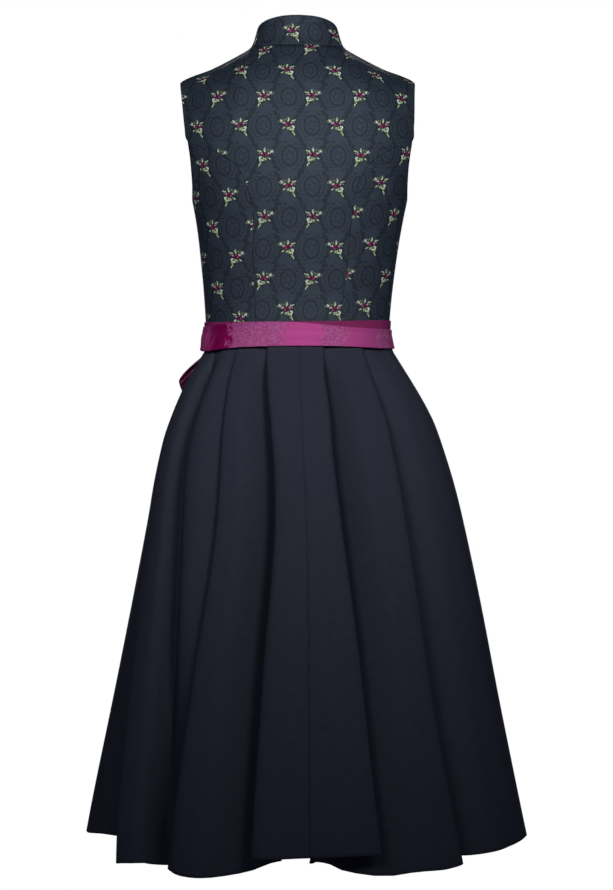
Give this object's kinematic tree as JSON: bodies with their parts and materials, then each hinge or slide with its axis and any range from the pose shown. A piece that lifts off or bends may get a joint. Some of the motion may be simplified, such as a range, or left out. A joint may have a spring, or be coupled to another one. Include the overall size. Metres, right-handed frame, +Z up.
{
  "type": "dirndl",
  "caption": "Sleeveless high-collared midi dress in hollow worn form: princess-seamed bodice, folded flared skirt, gathered apron and wound ribbon tied in a bow.",
  "frame": {"origin": "middle of the shoulder line, between the shoulder seams, where the wearer's shoulders hold the dress", "axes": "+Z up, the wearer faces +Y, and the wearer's right is +X"},
  "size_m": [0.6202, 0.5521, 1.1787],
  "materials": {
    "brocade": "satin jacquard with small brocaded flowers",
    "skirt_cloth": "fine matte plain weave",
    "ribbon": "two-tone velvet and satin",
    "apron_cloth": "soft satin"
  },
  "bodies": {
    "root": {"collar": "brocade", "back_centre": "brocade", "back_side_left": "brocade", "back_side_right": "brocade", "front_side_left": "brocade", "front_side_right": "brocade", "front_left": "brocade", "front_right": "brocade", "button_1": "brocade", "button_2": "brocade", "button_3": "brocade", "button_4": "brocade", "button_5": "brocade", "button_6": "brocade", "button_7": "brocade", "skirt_back_left": "skirt_cloth", "skirt_back_right": "skirt_cloth", "skirt_front": "skirt_cloth", "apron_panel": "apron_cloth", "apron_waistband": "apron_cloth", "ribbon_back_inner": "ribbon", "ribbon_back_outer": "ribbon", "ribbon_front": "ribbon", "bow_knot": "ribbon", "bow_loop_side": "ribbon", "bow_loop_front": "ribbon", "bow_tail_side": "ribbon", "bow_tail_front": "ribbon"}
  },
  "joints": []
}
